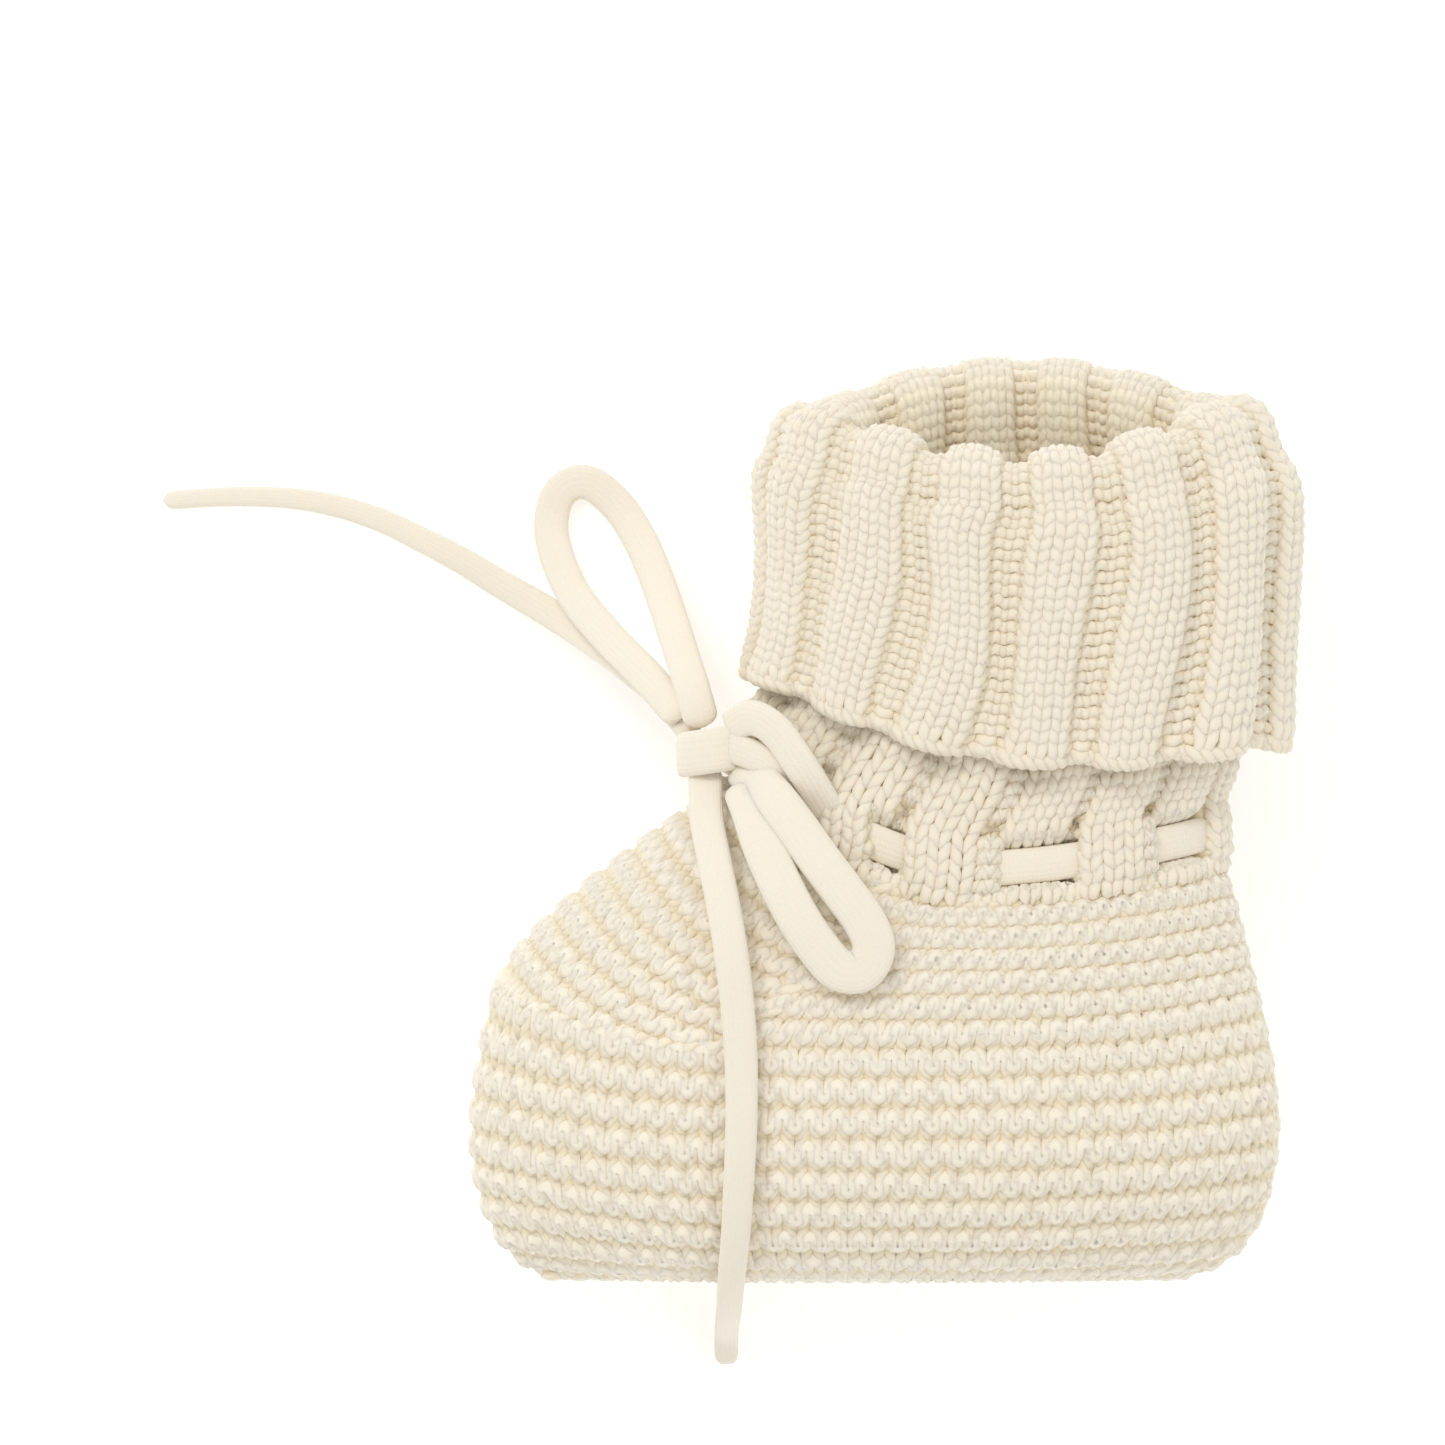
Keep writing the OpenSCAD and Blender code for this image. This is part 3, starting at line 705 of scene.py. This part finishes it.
def knit_cuff(name, first_row, last_row, first, last):
    edges, faces = wales(CUFF_REPEATS, CUFF_SHARES, RIB_FACES)
    a, b = first * len(RIB_FACES), last * len(RIB_FACES)
    strands = []
    for n in range(first_row, last_row):
        p, r, q = knit_points(cuff_place, n, edges[a:b + 1], faces[a:b], faces[a:b], depth=0.6,
                              lean=0.2, reach=1.12, relief=cuff_relief)
        strands.append(p)
    return yarn(name, strands, RIB_YARN)


ROLL_END = int(np.interp(9.0, fold_ms, fold_rise) / fold_rise[-1] * CUFF_COURSES)
cuff_near = knit_cuff("cuff_near_knit", 1, ROLL_END, 0, 7)
cuff_far = knit_cuff("cuff_far_knit", 1, ROLL_END, 7, 14)


def cast_off():
    """Two strands wound round each other along the hem, one turn to a wale."""
    q = np.linspace(0, CUFF_REPEATS, CUFF_REPEATS * 60, endpoint=False)
    share = q - np.floor(q)
    bound = np.concatenate([[0], np.cumsum(CUFF_SHARES)])
    wale = np.interp(share, bound, np.arange(len(bound))) + 5 * np.floor(q)
    row = np.full(len(q), 0.3)
    p = cuff_place(row, q)
    e = 1e-3
    n = np.cross(cuff_place(row, q + e) - p, cuff_place(row + 10 * e, q) - p)
    n /= np.linalg.norm(n, axis=1)[:, None]
    p = p + n * cuff_relief(row, q)[:, None]
    strands = []
    up = np.array([0, 1.0, 0])
    for start in (0, np.pi):
        a = 2 * np.pi * wale + start
        strands.append(p + n * (0.3 * np.sin(a))[:, None] + up * (0.35 * np.cos(a) + 0.2)[:, None])
    return yarn("cuff_hem_knit", strands, RIB_YARN * 0.95, closed=True)


cuff_hem = cast_off()
inner_rib = knit_cuff("leg_inner_knit", ROLL_END, CUFF_COURSES, 0, 14)
leg_upper = knit_leg("leg_upper_knit", LEG_SHOWN, LEG_COURSES)

# ---------------------------------------------------------------- skins behind the loops, coloured with painted shade

foot_shade_skin = backing("foot_shade_skin", foot_place, (0, FOOT_COURSES), (-0.004, 1.004), 0.7)
leg_shade_skin = backing("leg_shade_skin", leg_place, (0, LEG_COURSES), (0, LEG_REPEATS),
                   lambda r, q: 0.9 - np.minimum(leg_relief(r, q), 0.5), grid=(44, 300))
cuff_shade_skin = backing("cuff_shade_skin", cuff_place, (2.2, ROLL_END), (0, CUFF_REPEATS),
                    lambda r, q: 0.75 - cuff_relief(r, q) * 0.8, grid=(40, 240), thick=0.5)


# ---------------------------------------------------------------- seams

def seam_line(name, node, points, diameter):
    obj = yarn(name, [points], diameter)
    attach(obj, "root")
    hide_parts(node)
    return obj


def seam_stitches(route, width, count, diameter):
    """Backstitches that cross from side to side along a route."""
    t = np.linspace(0, 1, count * 8)
    return route(t, np.sin(t * count * 2 * np.pi) * width)


sole_seam = seam_line("sole_seam_yarn", "sole_seam",
                      seam_stitches(lambda t, w: np.stack([-42 + 80 * t, -56.6 + 0 * t, MID_Z + w], 1),
                                    1.6, 24, 1.4), 1.4)
heel_seam = seam_line(
    "heel_seam_yarn", "heel_seam",
    seam_stitches(lambda t, w: on_loop(BOOT, 0.3 + 7.5 * t, 180 + w * 1.2, -0.4), 1.6, 16, 1.4), 1.2)


# ---------------------------------------------------------------- materials

class Wire:
    """A socket's value in a shader, written as a plain expression."""

    def __init__(self, nodes, socket):
        self.nodes, self.socket = nodes, socket

    def _with(self, operation, a, b=None):
        return self.nodes.add("ShaderNodeMath", {"operation": operation},
                              {0: a} if b is None else {0: a, 1: b})

    def __add__(self, other): return self._with("ADD", self, other)
    def __radd__(self, other): return self._with("ADD", other, self)
    def __sub__(self, other): return self._with("SUBTRACT", self, other)
    def __rsub__(self, other): return self._with("SUBTRACT", other, self)
    def __mul__(self, other): return self._with("MULTIPLY", self, other)
    def __rmul__(self, other): return self._with("MULTIPLY", other, self)
    def sine(self): return self._with("SINE", self)


class Shader:
    """A material under construction."""

    def __init__(self, name):
        self.material = bpy.data.materials.new(name)
        self.material.use_nodes = True
        self.tree = self.material.node_tree
        self.tree.nodes.clear()

    def add(self, kind, settings=None, sockets=None, output=0):
        node = self.tree.nodes.new(kind)
        for key, value in (settings or {}).items():
            setattr(node, key, value)
        for key, value in (sockets or {}).items():
            if isinstance(value, Wire):
                self.tree.links.new(value.socket, node.inputs[key])
            else:
                node.inputs[key].default_value = value
        return Wire(self, node.outputs[output]) if len(node.outputs) else None

    def mix(self, share, a, b):
        return self.add("ShaderNodeMix", {"data_type": "RGBA"}, {0: share, 6: a, 7: b}, output=2)

    def finish(self, **sockets):
        named = {key.replace("_", " "): value for key, value in sockets.items()}
        surface = self.add("ShaderNodeBsdfPrincipled", None, named)
        self.add("ShaderNodeOutputMaterial", None, {"Surface": surface})
        return self.material


def cream(r, g, b):
    return (r, g, b, 1.0)


# Matt cotton that light sinks into a little
SOFT = dict(Roughness=0.92, Sheen_Weight=0.3, Sheen_Roughness=0.55, Specular_IOR_Level=0.2,
            Subsurface_Weight=0.25, Subsurface_Radius=(1.0, 0.9, 0.75), Subsurface_Scale=0.0008)


def cotton_yarn(name, light, warm, painted_shade, twist):
    """Soft matt cotton: plies twisted round each other, uneven in tone, with painted shade, darker and
    warmer, where the yarn lies in the crevices and in the grooves between its plies.
    """
    s = Shader(name)
    where = s.add("ShaderNodeTexCoord", output=3)
    turn = s.add("ShaderNodeAttribute", {"attribute_name": "twist"}, output=2)
    crevice_shade = s.add("ShaderNodeAttribute", {"attribute_name": "crevice_shade"}, output=2)
    mottle = s.add("ShaderNodeTexNoise", None, {"Vector": where, "Scale": 260.0, "Detail": 3.0})
    cloud = s.add("ShaderNodeTexNoise", None, {"Vector": where, "Scale": 28.0, "Detail": 2.0})
    fuzz = s.add("ShaderNodeTexNoise", None, {"Vector": where, "Scale": 2400.0, "Detail": 3.0})
    tone = mottle * 0.5 + cloud * 0.5
    surface = s.mix(tone * 1.8 - 0.4, light, warm)
    # Painted shade: darker, warmer colour in the crevices, a little more in the grooves between plies
    # than on their crests.
    colour = s.mix(crevice_shade * 0.9 - (turn * 0.06) - 0.08, surface, painted_shade)
    height = turn * twist + fuzz * 0.55
    bump = s.add("ShaderNodeBump", None, {"Strength": 0.5, "Distance": 0.00022, "Height": height})
    return s.finish(Base_Color=colour, Normal=bump, **SOFT)


def cord_tape():
    """Smooth flat cord, finely knitted: narrow wales along it."""
    s = Shader("cord_cotton")
    where = s.add("ShaderNodeTexCoord", output=3)
    uv = s.add("ShaderNodeTexCoord", output=2)
    around, along = (s.add("ShaderNodeSeparateXYZ", None, {"Vector": uv}, output=n) for n in (0, 1))
    wale = (around * 2 * math.pi * 22).sine()
    stitch = (along * (2 * math.pi / 0.55) + wale * 1.2).sine()
    mottle = s.add("ShaderNodeTexNoise", None, {"Vector": where, "Scale": 120.0, "Detail": 3.0})
    fuzz = s.add("ShaderNodeTexNoise", None, {"Vector": where, "Scale": 2600.0, "Detail": 2.0})
    colour = s.mix(mottle, cream(0.875, 0.81, 0.69), cream(0.85, 0.78, 0.65))
    bump = s.add("ShaderNodeBump", None,
                 {"Strength": 0.35, "Distance": 0.00012,
                  "Height": wale * 0.35 + stitch * 0.25 + fuzz * 0.9})
    return s.finish(Base_Color=colour, Normal=bump, **SOFT)


# Painted shade colour for the crevices between loops.
CREVICE_SHADE = cream(0.86, 0.735, 0.50)
garter_cotton = cotton_yarn("garter_cotton", cream(0.95, 0.87, 0.735), cream(0.92, 0.825, 0.66),
                            CREVICE_SHADE, 0.35)
rib_cotton = cotton_yarn("rib_cotton", cream(0.91, 0.83, 0.69), cream(0.87, 0.775, 0.615),
                         CREVICE_SHADE, 0.3)
# Painted light: a warmer, yellower copy of the rib cotton for the inside of the leg, standing in for
# warm light bounced round inside the opening.
inner_bounce_light_cotton = cotton_yarn("inner_bounce_light_cotton", cream(0.95, 0.86, 0.68), cream(0.91, 0.80, 0.60),
                           cream(0.88, 0.73, 0.46), 0.3)
# Painted shade: darker, warmer tan for the skins seen through the gaps between loops.
gap_shade_cotton = cotton_yarn("gap_shade_cotton", cream(0.86, 0.76, 0.56), cream(0.83, 0.72, 0.50),
                          cream(0.82, 0.70, 0.48), 0.0)
tape_cotton = cord_tape()

for obj in cords + [ankle_cord, near_lead, far_lead, knot_wrap, knot_core, knot_cross]:
    obj.data.materials.append(tape_cotton)
for obj in (foot_near, foot_far, panel):
    obj.data.materials.append(garter_cotton)
for obj in (leg, leg_upper, cuff_near, cuff_far, cuff_hem, inner_rib):
    obj.data.materials.append(inner_bounce_light_cotton if obj is inner_rib else rib_cotton)
for obj in (sole_seam, heel_seam, instep_seam):
    obj.data.materials.append(garter_cotton)
for obj in (foot_shade_skin, leg_shade_skin, cuff_shade_skin):
    obj.data.materials.append(gap_shade_cotton)

for obj in (foot_near, foot_far, panel, leg, leg_upper, foot_shade_skin, leg_shade_skin):
    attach(obj, "root")
for obj in (cuff_near, cuff_far, cuff_hem, cuff_shade_skin):
    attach(obj, "cuff")
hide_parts("foot_near_side")
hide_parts("foot_far_side")
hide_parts("instep_panel")
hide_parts("leg_rib", "rib_bridges", "eyelet_backs")
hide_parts("cuff")
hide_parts("cuff_edge")
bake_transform(inner_rib)

# ---------------------------------------------------------------- floor and light

bm = bmesh.new()
bmesh.ops.create_grid(bm, x_segments=1, y_segments=1, size=3.0)
floor_mesh = bpy.data.meshes.new("floor")
bm.to_mesh(floor_mesh)
bm.free()
floor = bpy.data.objects.new("floor", floor_mesh)
bpy.context.scene.collection.objects.link(floor)
floor_shader = Shader("floor_paper")
floor.data.materials.append(floor_shader.finish(
    Base_Color=(0.9, 0.9, 0.9, 1), Roughness=0.9, Emission_Color=(1, 1, 1, 1), Emission_Strength=0.3))


def softbox(name, place, aim, size, power):
    data = bpy.data.lights.new(name, "AREA")
    data.shape = "DISK"
    data.size = size
    data.energy = power
    lamp = bpy.data.objects.new(name, data)
    bpy.context.scene.collection.objects.link(lamp)
    lamp.location = place
    to = np.array(aim) - np.array(place)
    lamp.rotation_euler = (math.atan2(math.hypot(to[0], to[1]), -to[2]), 0,
                           math.atan2(to[1], to[0]) - math.pi / 2)
    return lamp


softbox("key", (-0.45, 0.75, 1.0), (0, 0, 0), 0.5, 5.0)
softbox("fill", (0.7, -0.5, 0.9), (0, 0, 0), 0.9, 1.5)
world = bpy.data.worlds.new("studio")
world.use_nodes = True
world.node_tree.nodes["Background"].inputs[0].default_value = (1, 1, 1, 1)
world.node_tree.nodes["Background"].inputs[1].default_value = 0.78
bpy.context.scene.world = world
bpy.context.scene.view_settings.view_transform = "Standard"
